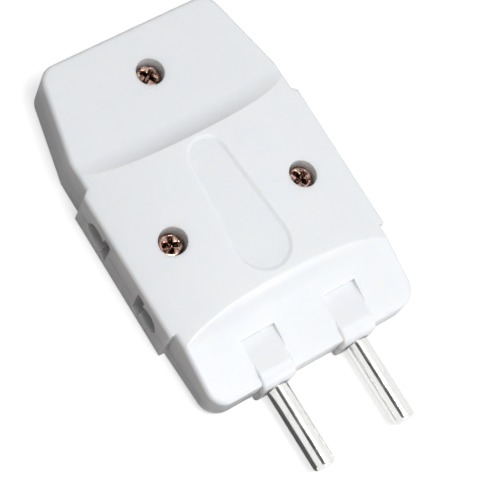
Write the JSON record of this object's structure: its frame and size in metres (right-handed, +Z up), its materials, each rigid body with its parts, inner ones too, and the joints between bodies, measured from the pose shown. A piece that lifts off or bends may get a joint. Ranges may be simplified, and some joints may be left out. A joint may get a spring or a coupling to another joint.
{
  "type": "plug adapter",
  "caption": "Flat moulded plug adapter with round plug pins on a sloped end and round-and-flat socket holes in both sides and the tapered head.",
  "frame": {"origin": "on the flat table face of the front cover, midway between the two side sockets", "axes": "+Z up from the table face to the screw side, -Y along the plug pins, +X to the right seen from the pins' far end with the screw side up"},
  "size_m": [0.0506, 0.0934, 0.0145],
  "materials": {
    "white_plastic": "glossy white moulded plastic",
    "pin_plating": "bright nickel-plated brass",
    "screw_metal": "bronze-coloured passivated steel, rolled and stamped",
    "sheet_brass": "plain stamped brass sheet"
  },
  "bodies": {
    "root": {"back_cover": "white_plastic", "front_cover": "white_plastic", "plug_pin_left": "pin_plating", "plug_pin_right": "pin_plating", "cover_screw_left": "screw_metal", "cover_screw_right": "screw_metal", "cover_screw_head": "screw_metal", "live_bar": "sheet_brass", "neutral_bar": "sheet_brass", "contact_left_live": "sheet_brass", "contact_left_neutral": "sheet_brass", "contact_right_live": "sheet_brass", "contact_right_neutral": "sheet_brass", "contact_end_live": "sheet_brass", "contact_end_neutral": "sheet_brass", "rivet_left_live": "sheet_brass", "rivet_left_neutral": "sheet_brass", "rivet_right_live": "sheet_brass", "rivet_right_neutral": "sheet_brass", "rivet_end_live": "sheet_brass", "rivet_end_neutral": "sheet_brass"}
  },
  "joints": []
}
